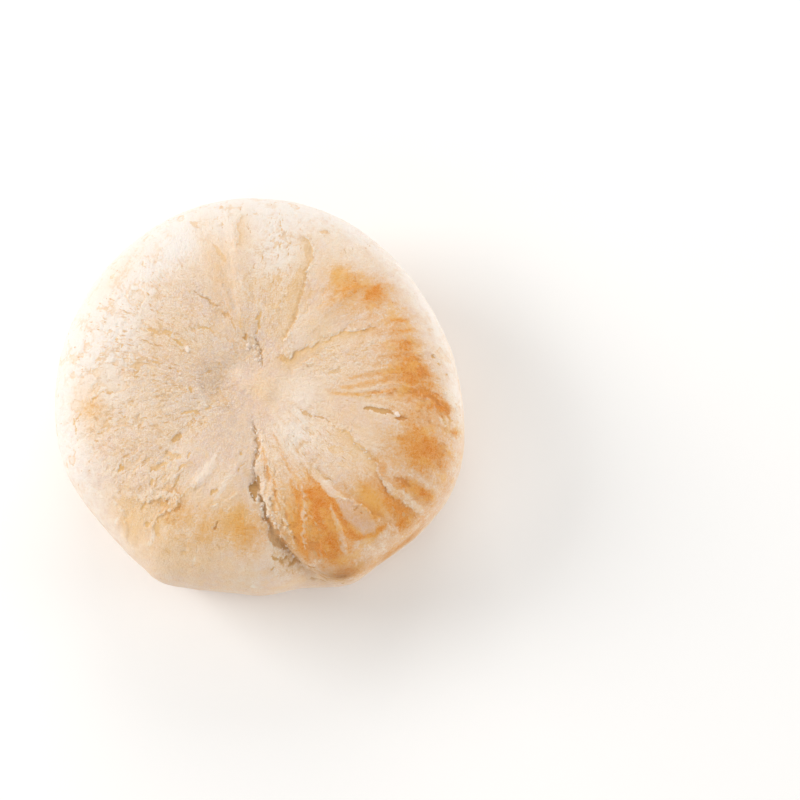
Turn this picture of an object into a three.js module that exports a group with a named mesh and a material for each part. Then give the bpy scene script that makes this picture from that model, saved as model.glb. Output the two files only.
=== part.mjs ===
// A whole flaky-crust mooncake: a low round pastry with a rounded shoulder and a flat base. Its laminated
// crust is gathered into pleats that meet round a small button in a shallow hollow, and has flaked in places.
// Millimetres, +Z up, origin at the middle of the flat base. An angle is in degrees, anticlockwise from +X
// seen from above. A distance s runs from the middle of the upper face outwards and down over the shoulder.
import * as THREE from "three";
import { ImprovedNoise } from "three/addons/math/ImprovedNoise.js";

// Driving dimensions.
const RADIUS = 40;
const HEIGHT = 34;
const WIDEST_LEVEL = 16;
const BASE_RADIUS = 34.5;
const SHOULDER_POWER = 3.3; // of the superellipse above the widest level: larger is squarer
const SKIRT_POWER = 1.5; // of the one below it
const HOLLOW = { depth: 3.9, radius: 12, power: 1.6 };
const BUTTON = { deg: 10, s: 1.4, radius: 3.8, height: 0.9 };

// The outline isn't a true circle: each row is a bulge of the rim, or with a minus sign a flat.
const RIM = [
  { deg: 32, half: 28, out: -1.3 },
  { deg: 106, half: 36, out: 1.1 },
  { deg: 222, half: 14, out: -0.9 },
  { deg: 242, half: 5, out: 0.7 },
  { deg: 262, half: 12, out: -1.7 },
  { deg: 282, half: 10, out: -2.1 },
  { deg: 298, half: 5, out: 0.6 },
  { deg: 336, half: 20, out: 2.1 },
];

// Pleats: grooves that run out from the hollow. A path is a list of [angle, s]. The groove has a depth and
// a half-width, and the crust on both sides rounds down to it by sag over the distance spread.
const PLEATS = [
  { path: [[264, 7], [272, 10], [271, 22], [277, 32], [288, 46]], depth: 0.8, half: 1.1, sag: 0.9, spread: 4 },
  { path: [[327, 9], [332, 15], [328, 25], [322, 38]], depth: 0.4, half: 1.0, sag: 0.7, spread: 4.5 },
  { path: [[302, 12], [309, 25], [312, 34]], depth: 0.4, half: 0.9, sag: 0.4, spread: 2.5 },
  { path: [[36, 8], [31, 18], [33, 27]], depth: 0.3, half: 0.9, sag: 0.3, spread: 3 },
  { path: [[55, 9], [60, 15], [68, 30]], depth: 0.3, half: 0.9, sag: 0.3, spread: 3 },
  { path: [[82, 7.5], [90, 9.5], [87, 13]], depth: 0.5, half: 0.8, sag: 0.3, spread: 2 },
  { path: [[108, 10], [118, 16], [127, 24]], depth: 0.3, half: 0.9, sag: 0.4, spread: 3.5 },
  { path: [[163, 8], [176, 12]], depth: 0.3, half: 0.8, sag: 0.2, spread: 2 },
  { path: [[205, 8], [217, 16], [224, 28]], depth: 0.3, half: 0.9, sag: 0.5, spread: 3.5 },
  { path: [[244, 16], [238, 27], [232, 38]], depth: 0.3, half: 0.9, sag: 0.2, spread: 3 },
];
const PLEAT_START = 3; // over this distance a pleat deepens from its inner end
const PLEAT_END = 4; // and over twice this it dies out round its outer end

// Lobes: dough that swells between the pleats, and with a minus sign a dent beside the button. along is a
// half-length outwards and across one round the cake.
const LOBES = [
  { deg: 187, s: 7.5, along: 3.6, across: 4.2, height: -0.9 },
  { deg: 295, s: 29, along: 12, across: 3.4, height: 0.8 },
  { deg: 283, s: 20, along: 9, across: 2.4, height: 0.35 },
  { deg: 343, s: 28, along: 12, across: 6.0, height: 0.8 },
  { deg: 317, s: 30, along: 8, across: 3.6, height: 0.3 },
  { deg: 254, s: 25, along: 12, across: 6.0, height: 0.6 },
  { deg: 46, s: 20, along: 11, across: 2.6, height: 0.5 },
  { deg: 8, s: 29, along: 8, across: 6.0, height: 0.5 },
  { deg: 99, s: 22, along: 10, across: 1.8, height: 0.5 },
];

// Tears: ragged patches where a layer or two of crust has flaked off, measured as the lobes are.
const TEARS = [
  { deg: 80, s: 20, along: 12, across: 5.5, depth: 0.3 },
  { deg: 29, s: 19, along: 10, across: 1.6, depth: 0.35 },
  { deg: 14, s: 18, along: 9, across: 3.2, depth: 0.25 },
  { deg: 96, s: 29, along: 5, across: 1.3, depth: 0.25 },
  { deg: 217, s: 18, along: 3.5, across: 1.3, depth: 0.3 },
  { deg: 223, s: 24, along: 4.5, across: 1.6, depth: 0.35 },
  { deg: 236, s: 27, along: 5, across: 1.8, depth: 0.35 },
  { deg: 230, s: 33, along: 4, across: 2.6, depth: 0.3 },
  { deg: 270.5, s: 20.5, along: 2.6, across: 1.3, depth: 0.45 },
  { deg: 280, s: 35, along: 4, across: 1.6, depth: 0.45 },
  { deg: 316, s: 18, along: 9, across: 3.4, depth: 0.25 },
  { deg: 319, s: 30, along: 5, across: 1.8, depth: 0.25 },
  { deg: 345.5, s: 24.7, along: 4.2, across: 1.1, depth: 0.45 },
  { deg: 352, s: 34, along: 5, across: 1.8, depth: 0.3 },
];
const RAGGED = { share: 0.55, grain: 3 }; // how far a tear's edge wanders, and the size of its teeth
const TEAR_EDGE = 0.22; // share of a tear's half-width over which its edge drops

// The whole crust is uneven: broad dents and small crags, and fine folds that run out from the hollow.
const UNEVEN = [
  { grain: 14, height: 0.9 },
  { grain: 4, height: 0.3 },
];
const FOLDS = { height: 0.3, around: 7, length: 9, from: 5, to: 14 };

// Mesh spacing: fine on the upper face, coarser on the side and coarsest on the flat base.
const FACE_STEP = 1.25;
const SIDE_STEP = 2.1;
const BASE_STEP = 4.5;
const FACE_REACH = 46; // s at which the face's spacing gives way to the side's
const BASE_FADE = 5; // height over which the relief dies out towards the base
const MERIDIAN_STEPS = 240;
const FEWEST_CORNERS = 7; // of a ring next to the axis
const ON_AXIS = 1e-6;

const { degToRad, smoothstep, clamp } = THREE.MathUtils;
const noise = new ImprovedNoise();

function bell(x, half) {
  return Math.exp(-((x / half) ** 2));
}

// Angle a seen from angle b, from -180 to 180.
function turn(a, b) {
  return ((((a - b) % 360) + 540) % 360) - 180;
}

// The meridian: from the middle of the upper face to the widest level, the edge of the base and its middle.
function meridian() {
  const quarter = Array.from({ length: MERIDIAN_STEPS + 1 }, (_, i) => (i / MERIDIAN_STEPS) * (Math.PI / 2));
  const upper = quarter.map((t) => {
    const r = RADIUS * Math.sin(t) ** (2 / SHOULDER_POWER);
    const crown = (HEIGHT - WIDEST_LEVEL) * Math.cos(t) ** (2 / SHOULDER_POWER);
    const hollow = HOLLOW.depth * Math.exp(-((r / HOLLOW.radius) ** HOLLOW.power));
    return new THREE.Vector2(r, WIDEST_LEVEL + crown - hollow);
  });
  const lower = quarter.slice(1).map((t) => {
    const out = (RADIUS - BASE_RADIUS) * Math.cos(t) ** (2 / SKIRT_POWER);
    const drop = WIDEST_LEVEL * Math.sin(t) ** (2 / SKIRT_POWER);
    return new THREE.Vector2(BASE_RADIUS + out, WIDEST_LEVEL - drop);
  });
  return [...upper, ...lower, new THREE.Vector2(0, 0)];
}

function lengthOf(points) {
  return points.reduce((sum, p, i) => (i > 0 ? sum + p.distanceTo(points[i - 1]) : 0), 0);
}

// The point of the meridian at each s of an increasing list, with the outward normal there.
function sampled(points, stops) {
  let i = 0;
  let start = 0;
  return stops.map((s) => {
    while (i < points.length - 2 && start + points[i].distanceTo(points[i + 1]) < s) {
      start += points[i].distanceTo(points[i + 1]);
      i += 1;
    }
    const share = clamp((s - start) / points[i].distanceTo(points[i + 1]), 0, 1);
    const at = points[i].clone().lerp(points[i + 1], share);
    const along = points[i + 1].clone().sub(points[i]).normalize();
    return { s, at, normal: new THREE.Vector2(-along.y, along.x) };
  });
}

// Even stops from a to b, both included, about step apart. Each carries the step.
function stopsBetween(a, b, step) {
  const n = Math.max(1, Math.round((b - a) / step));
  return Array.from({ length: n + 1 }, (_, i) => ({ s: a + ((b - a) * i) / n, step }));
}

function rimRadius(deg) {
  return RIM.reduce((r, wave) => r + wave.out * bell(turn(deg, wave.deg), wave.half), RADIUS);
}

// A pleat's angle at s, straight between the points of its path.
function pathAngle(path, s) {
  const next = path.findIndex((p) => p[1] > s);
  if (next === 0) return path[0][0];
  if (next < 0) return path.at(-1)[0];
  const [[deg0, s0], [deg1, s1]] = [path[next - 1], path[next]];
  return deg0 + ((deg1 - deg0) * (s - s0)) / (s1 - s0);
}

function pleatRelief(pleat, deg, s, r) {
  const [from, to] = [pleat.path[0][1], pleat.path.at(-1)[1]];
  const begun = smoothstep(s, from - PLEAT_START, from);
  const ended = smoothstep(s, to - PLEAT_END, to + PLEAT_END);
  const off = degToRad(turn(deg, pathAngle(pleat.path, s))) * r;
  return -begun * (1 - ended) * (pleat.depth * bell(off, pleat.half) + pleat.sag * bell(off, pleat.spread));
}

// Distance from the middle of a lobe or a tear, 1 at its edge.
function patchDistance(patch, deg, s, r) {
  const off = degToRad(turn(deg, patch.deg)) * r;
  return Math.hypot((s - patch.s) / patch.along, off / patch.across);
}

function tearRelief(tear, deg, s, x, y, r) {
  const ragged = RAGGED.share * noise.noise(x / RAGGED.grain, y / RAGGED.grain, tear.deg);
  const d = patchDistance(tear, deg, s, r) + ragged;
  return -tear.depth * (1 - smoothstep(d, 1 - TEAR_EDGE, 1 + TEAR_EDGE));
}

function foldRelief(x, y, s, r) {
  const around = FOLDS.around / Math.max(r, FOLDS.from);
  const wave = noise.noise(x * around, y * around, s / FOLDS.length);
  return FOLDS.height * wave * smoothstep(r, FOLDS.from, FOLDS.to);
}

// How far the crust stands out of the plain turned body at an angle and a distance s, where its radius is r.
function relief(deg, s, r) {
  const [x, y] = [r * Math.cos(degToRad(deg)), r * Math.sin(degToRad(deg))];
  const [bx, by] = [BUTTON.s * Math.cos(degToRad(BUTTON.deg)), BUTTON.s * Math.sin(degToRad(BUTTON.deg))];
  let h = BUTTON.height * bell(Math.hypot(x - bx, y - by), BUTTON.radius);
  for (const pleat of PLEATS) h += pleatRelief(pleat, deg, s, r);
  for (const lobe of LOBES) h += lobe.height * bell(patchDistance(lobe, deg, s, r), 1);
  for (const tear of TEARS) h += tearRelief(tear, deg, s, x, y, r);
  for (const { grain, height } of UNEVEN) h += height * noise.noise(x / grain, y / grain, s / grain);
  return h + foldRelief(x, y, s, r);
}

// One ring of corners round the body at a sample of the meridian. A ring on the axis is one corner.
function ringAt({ s, at, normal }, step, odd) {
  const r = at.x;
  const count = r < ON_AXIS ? 1 : Math.max(FEWEST_CORNERS, Math.round((2 * Math.PI * r) / step));
  const fade = smoothstep(at.y, 0, BASE_FADE);
  return Array.from({ length: count }, (_, i) => {
    const share = (i + (odd ? 0.5 : 0)) / count;
    const deg = share * 360;
    const h = fade * relief(deg, s, r);
    const out = (r * rimRadius(deg)) / RADIUS + h * normal.x;
    const corner = new THREE.Vector3(out * Math.cos(degToRad(deg)), out * Math.sin(degToRad(deg)), 0);
    return { share, corner: corner.setZ(at.y + h * normal.y) };
  });
}

// Turn of the corner after corner i of a ring: 0 to 1 and a little over, and none once the ring is used up.
function nextShare(ring, i) {
  if (ring.length === 1 || i >= ring.length) return Infinity;
  return i + 1 < ring.length ? ring[i + 1].share : 1 + ring[0].share;
}

// Triangles between two rings: step round both, always on to the corner that comes next.
function stitch(upper, lower, start, index) {
  const lowerStart = start + upper.length;
  let [u, l] = [0, 0];
  while (Math.min(nextShare(upper, u), nextShare(lower, l)) < Infinity) {
    const a = start + (u % upper.length);
    const b = lowerStart + (l % lower.length);
    if (nextShare(upper, u) <= nextShare(lower, l)) {
      u += 1;
      index.push(a, b, start + (u % upper.length));
    } else {
      l += 1;
      index.push(a, b, lowerStart + (l % lower.length));
    }
  }
}

function crustGeometry() {
  const points = meridian();
  const edge = lengthOf(points.slice(0, -1));
  const stops = [
    ...stopsBetween(0, FACE_REACH, FACE_STEP),
    ...stopsBetween(FACE_REACH, edge, SIDE_STEP).slice(1),
    ...stopsBetween(edge, lengthOf(points), BASE_STEP).slice(1),
  ];
  const spine = sampled(points, stops.map((stop) => stop.s));
  const rings = spine.map((sample, i) => ringAt(sample, stops[i].step, i % 2 === 1));
  const index = [];
  let start = 0;
  for (let i = 0; i + 1 < rings.length; i++) {
    stitch(rings[i], rings[i + 1], start, index);
    start += rings[i].length;
  }
  const geometry = new THREE.BufferGeometry().setFromPoints(rings.flat().map((v) => v.corner));
  geometry.setIndex(index);
  geometry.computeBoundingBox();
  const centre = geometry.boundingBox.getCenter(new THREE.Vector3());
  geometry.translate(-centre.x, -centre.y, 0);
  geometry.computeVertexNormals();
  return geometry;
}

const crust = new THREE.MeshStandardMaterial({ color: 0xf0d9b8, roughness: 0.62, metalness: 0 });
const mooncake = new THREE.Mesh(crustGeometry(), crust);
mooncake.name = "mooncake";

const group = new THREE.Group();
group.add(mooncake);
export default group;
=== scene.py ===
# A whole flaky-crust mooncake, lying on a pale floor with its pleated face up. The crust is one dense closed
# mesh. It has the profile, rim and lobes of the solid it stands for, with finer pleats and with torn layers,
# cracks and wrinkles on top. Sizes are in millimetres until a mesh is made. An angle is in degrees,
# anticlockwise from +X seen from above. A distance s runs from the middle of the upper face outwards and over
# the shoulder.
import itertools
import math
from functools import partialmethod
from types import SimpleNamespace

import bpy
import numpy as np
from mathutils import Matrix, Vector


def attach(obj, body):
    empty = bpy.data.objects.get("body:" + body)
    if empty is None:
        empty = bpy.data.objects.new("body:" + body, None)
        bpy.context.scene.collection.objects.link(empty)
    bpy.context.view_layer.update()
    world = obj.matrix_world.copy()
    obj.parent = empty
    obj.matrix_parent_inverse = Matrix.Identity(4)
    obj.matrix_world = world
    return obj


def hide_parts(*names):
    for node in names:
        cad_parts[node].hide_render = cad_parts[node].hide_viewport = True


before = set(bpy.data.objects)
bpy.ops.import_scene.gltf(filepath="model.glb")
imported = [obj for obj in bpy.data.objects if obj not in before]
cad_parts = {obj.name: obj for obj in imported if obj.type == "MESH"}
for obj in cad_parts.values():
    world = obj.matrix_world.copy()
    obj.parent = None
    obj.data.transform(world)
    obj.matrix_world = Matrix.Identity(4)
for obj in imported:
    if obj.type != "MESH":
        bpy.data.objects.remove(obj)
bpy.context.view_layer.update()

MM = 0.001

# -------------------- the body's driving dimensions

# The profile, rim and lobes are the solid's.
RADIUS = 40.0
HEIGHT = 34.0
WIDEST_LEVEL = 16.0
BASE_RADIUS = 34.5
SHOULDER_POWER = 3.3
SKIRT_POWER = 1.5
HOLLOW = {"depth": 3.9, "radius": 12.0, "power": 1.6}
BUTTON = {"deg": 10.0, "s": 1.4, "radius": 3.8, "height": 0.9}

# Bulges of the rim: angle, half-width in degrees, and how far out.
RIM = [
    (32, 28, -1.3),
    (106, 36, 1.1),
    (222, 14, -0.9),
    (242, 5, 0.7),
    (262, 12, -1.7),
    (282, 10, -2.1),
    (298, 5, 0.6),
    (336, 20, 2.1),
]

# Pleats: the groove's line as (angle, s), its depth and half-width, how far the crust rounds down to it, and
# over what distance.
PLEATS = [
    ([(266, 7), (274, 11), (274, 14), (270, 19.5), (274, 25)], 0.15, 0.6, 0.45, 3.0),
    ([(270, 17), (274, 24), (277, 31), (284, 39), (290, 50)], 0.35, 0.8, 0.9, 4.0),
    ([(278, 32), (284, 40), (290, 52)], 0.4, 1.4, 0.4, 3.0),
    ([(327, 9), (332, 15), (330, 20), (326, 27), (321, 33), (322, 42)], 0.1, 0.9, 0.7, 4.5),
    ([(302, 12), (306, 21), (309, 26), (312, 34)], 0.2, 0.9, 0.4, 2.5),
    ([(35, 8), (36, 12), (31, 17), (31, 21), (33, 27)], 0.1, 0.8, 0.3, 3.0),
    ([(72, 4), (82, 7.5), (90, 9.5), (87, 13)], 0.15, 0.6, 0.3, 2.0),
    ([(108, 10), (110, 13), (117, 16.5), (121, 20), (127, 24)], 0.12, 0.8, 0.4, 3.5),
    ([(150, 6), (162, 8.5), (176, 12)], 0.12, 0.7, 0.2, 2.0),
    ([(205, 8), (216, 15), (219, 21), (224, 28)], 0.1, 0.8, 0.5, 3.5),
]
PLEAT_ENDS = (5.0, 6.0)  # a pleat begins and dies out over these distances; the other ENDS are alike

# Lobes between the pleats, and a dent beside the button: angle, s, half-length outwards, half-width round the
# cake, height. All patches below start with the same four values.
LOBES = [
    (187, 7.5, 3.6, 4.2, -0.9),
    (295, 29, 12, 3.4, 0.8),
    (283, 20, 9, 2.4, 0.35),
    (343, 28, 12, 6.0, 0.8),
    (317, 30, 8, 3.6, 0.3),
    (254, 25, 12, 6.0, 0.6),
    (46, 20, 11, 2.6, 0.5),
    (8, 29, 8, 6.0, 0.5),
    (99, 22, 10, 1.8, 0.5),
]

# Torn edges, where the crust on one side has flaked off: the edge's line as (angle, s), the side that is torn
# (1 is the left, looking along the line), the drop, how far off the crust is whole again, how golden the foot
# of the drop is, and how far the gold reaches. The gold is partly painted shade at the foot of the drop.
TORN_EDGES = [
    ([(54, 8.5), (45, 8), (35, 8.5), (36, 12.5), (32, 16)], -1, 0.12, 1.6, 0.9, 1.8),
    ([(32, 15), (31, 20), (27, 23), (25, 28)], -1, 0.1, 2.5, 1.0, 0.9),
    ([(55, 9), (57, 13), (63, 19.5), (66.5, 24), (66, 27.5), (69, 30), (75, 32)], 1, 0.16, 7.0, 0.8, 1.0),
    ([(13, 7), (19, 9.5), (23, 12.5), (26, 17)], 1, 0.1, 1.5, 0.5, 0.8),
    ([(330, 17), (330, 20.5), (326.5, 26.5), (321.5, 31), (320.5, 36), (322.5, 38), (321, 43.5)],
     -1, 0.15, 4.0, 0.8, 1.1),
    ([(305, 27), (309.5, 29.5), (312, 32.5), (312.5, 36), (314.5, 40)], 1, 0.12, 2.0, 0.7, 0.8),
    ([(242, 22), (242, 23.5), (239.5, 24), (239, 26.5), (240.5, 27.5), (239.5, 29), (235.5, 32), (236, 36)],
     1, 0.14, 2.0, 0.8, 0.5),
    ([(218.5, 35), (219, 36.5), (223, 36.5), (225, 36), (226.5, 37.5), (229.5, 39), (231, 42)],
     1, 0.12, 4.0, 0.35, 1.5),
    ([(222, 36), (224, 34), (228.5, 32.5), (231, 30.5), (234.5, 29), (238, 29.5)], -1, 0.12, 4.0, 0.6, 0.8),
    ([(358, 31), (353.5, 34.5), (350.5, 35.5), (349, 37), (347, 39), (348.5, 44)], 1, 0.12, 2.0, 0.9, 0.5),
    ([(262.5, 22), (260.5, 24.5), (256, 25.5), (250, 27)], -1, 0.1, 2.5, 0.4, 1.2),
    ([(94.5, 35), (97.5, 32), (97, 29), (98.5, 26)], 1, 0.1, 2.5, 0.6, 0.8),
]
EDGE_ENDS = (1.5, 1.5)
EDGE = 0.12  # half the width of a drop
LIP = 0.16  # how far a torn edge curls up
LIP_HALF = 0.35  # half its width
CRUMB = 0.22  # height of the crumbs that cling along torn edges

# Windows torn in the skin: the window's line as (angle, s), half-width, depth, and how golden its floor is.
WINDOWS = [
    ([(225, 33.5), (229, 36.5), (234, 41)], 2.6, 0.1, 0.2),
    ([(107, 29), (103.5, 24)], 0.5, 0.06, 0.5),
    ([(111.5, 36), (110, 33.5)], 0.5, 0.08, 0.5),
    ([(68.5, 25), (69, 21), (67.5, 17)], 0.8, 0.08, 0.5),
    ([(101, 9.7), (102, 8.3)], 0.45, 0.3, 1.0),
    ([(84.5, 14), (90, 9.5)], 0.3, 0.15, 0.9),
    ([(103, 12), (107, 11)], 0.25, 0.12, 0.8),
    # This one is painted shadow below the torn end of a tongue of crust.
    ([(52, 7), (36, 7.8)], 0.4, 0.15, 0.8),
    ([(71, 29.5), (66, 26.5)], 1.1, 0.15, 0.55),
    ([(345.7, 20.7), (346.5, 23), (347, 25.5), (346, 27.3)], 0.45, 0.25, 1.0),
    ([(345, 27.3), (346, 29.3)], 0.35, 0.25, 1.0),
    ([(272, 19), (272, 21), (270.5, 22), (271, 24.5)], 0.75, 0.35, 1.0),
    ([(277, 29.5), (278.5, 33), (281, 36)], 1.2, 0.3, 0.8),
    ([(279.5, 25), (279.5, 27.5)], 0.35, 0.15, 0.8),
    ([(282, 29), (282, 31)], 0.35, 0.15, 0.8),
    ([(279.5, 18), (281.5, 20)], 0.35, 0.12, 0.8),
    ([(280.5, 23.3), (281.7, 25.2)], 0.35, 0.12, 0.8),
    ([(168, 9.8), (161, 8.4)], 0.3, 0.12, 0.8),
    ([(153, 8), (148, 7.2)], 0.25, 0.1, 0.7),
    ([(285, 33), (286, 35)], 0.35, 0.15, 0.8),
    ([(276, 36.5), (278.5, 37.2)], 0.4, 0.25, 1.0),
    ([(278, 38.5), (281, 37.8)], 0.5, 0.3, 1.0),
    ([(280, 40.7), (284, 39.5)], 0.4, 0.3, 1.0),
    ([(285, 42), (289, 41)], 0.35, 0.3, 1.0),
    ([(275, 39.5), (276.5, 39)], 0.3, 0.2, 0.9),
    ([(262.3, 15.2), (262.7, 16)], 0.3, 0.15, 0.9),
    ([(251, 23.6), (252.2, 22.3)], 0.4, 0.15, 0.9),
    ([(255.7, 30.3), (257.5, 30)], 0.4, 0.2, 0.95),
    ([(356.5, 32), (355.5, 34.5), (354, 36.5)], 0.35, 0.15, 1.0),
    ([(353.7, 36.5), (353, 38.5)], 0.3, 0.15, 1.0),
    ([(350.5, 35.8), (349, 37.3)], 0.4, 0.15, 1.0),
    ([(352, 37.5), (350.5, 39.5)], 0.35, 0.15, 1.0),
    ([(349, 39.5), (348.3, 41)], 0.3, 0.12, 1.0),
    ([(357.5, 34.5), (356.5, 37)], 0.25, 0.1, 0.9),
    ([(348, 37.8), (346.8, 39)], 0.3, 0.12, 1.0),
    ([(10, 35), (10, 36)], 0.45, 0.25, 1.0),
    ([(7.3, 36.6), (7.7, 37.4)], 0.4, 0.2, 0.9),
    ([(4.3, 38), (4.7, 39)], 0.4, 0.2, 0.9),
    ([(32, 32.8), (32, 33.3)], 0.25, 0.15, 0.9),
    ([(325.7, 31.5), (327.2, 36)], 0.4, 0.15, 0.7),
    ([(309.3, 31.3), (308.5, 31.7)], 0.28, 0.2, 0.9),
    ([(308.7, 33), (308.3, 33.3)], 0.25, 0.15, 0.9),
    ([(224, 23), (222.5, 25.5), (223, 27.5)], 0.5, 0.15, 0.8),
    ([(225.5, 27.3), (226, 29)], 0.3, 0.12, 0.8),
    ([(218.5, 17.3), (217, 18.5), (217.5, 20.3)], 0.6, 0.18, 0.9),
    ([(204.5, 15.5), (211, 12)], 0.3, 0.1, 0.8),
    ([(212.5, 14.5), (218, 13)], 0.25, 0.1, 0.8),
    ([(220, 13.5), (223.5, 12)], 0.25, 0.1, 0.8),
    ([(229.5, 18.3), (231, 20)], 0.35, 0.12, 0.8),
    ([(231.3, 21), (230.5, 23.3)], 0.4, 0.12, 0.7),
    ([(231.5, 24), (234, 25), (235, 26.2)], 0.3, 0.12, 0.7),
    ([(237, 32), (240.5, 31.5), (243, 30)], 0.5, 0.06, 0.6),
    ([(208, 9.3), (211, 11.2)], 0.25, 0.1, 0.7),
    ([(213, 30.3), (214, 32.2)], 0.35, 0.15, 1.0),
    ([(240.3, 27.5), (239.3, 29.3)], 0.5, 0.2, 1.0),
    ([(228.5, 33), (229.5, 33)], 0.35, 0.15, 0.9),
    ([(234, 29.5), (235.5, 29.8)], 0.4, 0.15, 0.9),
    ([(219, 22.5), (224, 22), (228, 21)], 0.5, 0.1, 0.6),
    ([(234.5, 28.7), (234, 30.7)], 0.4, 0.15, 0.9),
    ([(237, 33.2), (238, 35.2)], 0.6, 0.12, 0.7),
    ([(235.3, 32), (236.3, 33.5)], 0.4, 0.15, 0.9),
    ([(233.3, 35.2), (234.2, 33.9)], 0.35, 0.15, 0.9),
    ([(228.5, 32), (229.5, 33.3)], 0.4, 0.15, 0.9),
    ([(246.7, 36.3), (249.3, 36)], 0.6, 0.1, 0.5),
    ([(242.7, 37), (244.7, 36.3)], 0.45, 0.1, 0.6),
    ([(154, 23.5), (152, 20.8)], 0.5, 0.12, 0.8),
    ([(150.7, 20), (150.5, 18.3)], 0.4, 0.1, 0.8),
    ([(152, 17.8), (153.3, 15.6)], 0.4, 0.12, 0.9),
    ([(163, 29), (162, 28)], 0.3, 0.1, 0.8),
    ([(165, 27), (164, 25.8)], 0.35, 0.1, 0.8),
    ([(170.5, 16.8), (171.5, 16.2)], 0.25, 0.12, 0.9),
    ([(172.5, 15.3), (173.5, 14.7)], 0.3, 0.12, 1.0),
    ([(174.7, 23.5), (175.3, 22.5)], 0.3, 0.1, 0.8),
    ([(186, 13.2), (187, 11.8)], 0.35, 0.12, 0.9),
    ([(139, 15.7), (133, 15), (128.5, 12.5)], 0.2, 0.1, 0.8),
    ([(101, 36.8), (101, 38.2)], 0.45, 0.12, 0.6),
    ([(102.3, 32.5), (102.7, 33.5)], 0.3, 0.1, 0.7),
    ([(68.3, 33.8), (65.3, 34.5)], 0.5, 0.15, 0.6),
    ([(57.7, 32.3), (57.2, 32.7)], 0.35, 0.2, 0.9),
    ([(56, 33.9), (55.7, 34.1)], 0.25, 0.2, 0.9),
    ([(74.7, 32.2), (75.3, 32.8)], 0.25, 0.12, 0.7),
    ([(189, 34.3), (191, 36), (195.5, 36.7)], 0.35, 0.1, 0.8),
]

# Cracks: the line as (angle, s), half-width, depth.
CRACKS = [
    ([(265, 6.5), (272, 9), (274.5, 11.5), (274.5, 13.5), (271, 17.5), (270, 20.5)], 0.22, 0.3),
    ([(270, 18), (270.5, 20), (274, 23.5), (275.5, 28), (278, 32.5), (282.5, 37), (285, 41)], 0.3, 0.45),
    ([(327, 8.5), (327.5, 10.5), (329.5, 12.5), (332, 15.5), (330, 18)], 0.19, 0.2),
    ([(331, 16.5), (329, 23), (326.5, 26.5), (321.5, 31)], 0.16, 0.12),
    ([(56, 9.5), (58, 14.5), (63, 19.5), (66.5, 24), (66.5, 28)], 0.32, 0.22),
    ([(54, 8.5), (45.5, 8), (35, 8.5), (36, 12.5)], 0.22, 0.2),
    ([(288, 43), (293, 44.5), (299, 44)], 0.25, 0.3),
    ([(286, 45), (292, 47), (301, 46.5)], 0.3, 0.35),
    ([(284, 47.5), (293, 50), (303, 49)], 0.3, 0.35),
    ([(305.5, 20.5), (306, 23), (309, 25.5)], 0.22, 0.2),
    ([(94.5, 9), (81, 7.5), (79, 5), (65, 3.5)], 0.25, 0.25),
    ([(108.5, 10), (109.5, 13.5), (116.5, 16.5), (120.5, 19.5), (125, 22.5)], 0.25, 0.2),
    ([(151, 6.5), (162, 8.5), (174, 11), (181, 13.5)], 0.16, 0.12),
    ([(169, 21.5), (169, 18), (171, 15.5), (173, 15)], 0.16, 0.12),
    ([(186.5, 32.5), (184, 29.5), (185, 27)], 0.15, 0.1),
    ([(83, 37), (81.5, 31.5), (81, 27)], 0.16, 0.12),
    ([(30.5, 16), (30, 19), (32, 26)], 0.15, 0.1),
    ([(351, 21), (354, 23), (355.5, 27)], 0.18, 0.1),
    ([(230.5, 23), (235, 25.5)], 0.16, 0.2),
    ([(257, 20), (261, 18), (268, 16.5)], 0.16, 0.15),
    ([(199, 24.5), (200.5, 19)], 0.16, 0.1),
]

CRACK_GOLD = 0.75  # how golden a crack is

# Patches where the skin is flaky, with the share of it that is gone.
FLAKY = [
    (165, 23, 13, 15, 0.17),
    (195, 26, 11, 10, 0.13),
    (190, 9, 5, 6, 0.14),
    (100, 9, 5, 5, 0.12),
    (55, 8, 4, 5, 0.08),
    (320, 15, 8, 6, 0.08),
    (135, 27, 12, 10, 0.07),
    (80, 20, 14, 6, 0.13),
    (95, 34, 7, 10, 0.06),
    (15, 20, 12, 5, 0.1),
    (5, 31, 8, 9, 0.07),
    (316, 19, 10, 5, 0.08),
    (222, 28, 7, 7, 0.16),
    (213, 15, 7, 4, 0.15),
    (280, 26, 13, 2.0, 0.3),
    (284, 39, 4, 4, 0.25),
    (352, 37, 5, 3.5, 0.35),
    (318, 38, 5, 3, 0.12),
    (292, 32, 10, 3, 0.1),
    (299, 16, 6, 4, 0.18),
]
FLAKY_ELSEWHERE = 0.004  # out to this s:
FLAKY_END = 66
MOST_GONE = 0.6

# Raised folds, the first of them in the hollow: the line as (angle, s), half-width, height.
RIDGES = [
    ([(153, 6), (175, 1.5), (318, 2), (312, 6)], 1.6, 0.7),
    ([(351, 17), (355, 20.5), (358.5, 26), (359, 34)], 0.3, 0.16),
    ([(349.5, 18), (353.5, 23.5), (357.5, 29)], 0.3, 0.1),
    ([(356, 18), (0.5, 24), (2, 29)], 0.35, 0.08),
    ([(6, 17), (5, 24), (7, 30)], 0.5, 0.1),
    ([(295.5, 20), (291, 28.5), (288, 38)], 0.5, 0.12),
    ([(303, 23), (300.5, 31), (298.5, 39)], 0.8, 0.2),
    ([(103, 10), (98, 22), (97, 29)], 0.8, 0.15),
    ([(108, 14), (110, 24)], 0.6, 0.2),
    ([(244.5, 15.5), (244, 19.5), (242.5, 22), (240, 25)], 0.8, 0.25),
    ([(47, 18), (44, 30)], 0.7, 0.18),
    ([(224, 5), (209, 10.5), (188, 10.8), (178, 12.5)], 0.8, 0.3),
    ([(25, 29), (22.5, 34)], 0.5, 0.12),
    ([(20, 29), (18, 35)], 0.4, 0.1),
]
FOLD_ENDS = (3.0, 3.0)

FAN_RADIUS = 25.0  # s at which the material's streaks are as wide as their noise says
FAN_STRETCH = 3.0  # how much longer than wide they are

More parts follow.
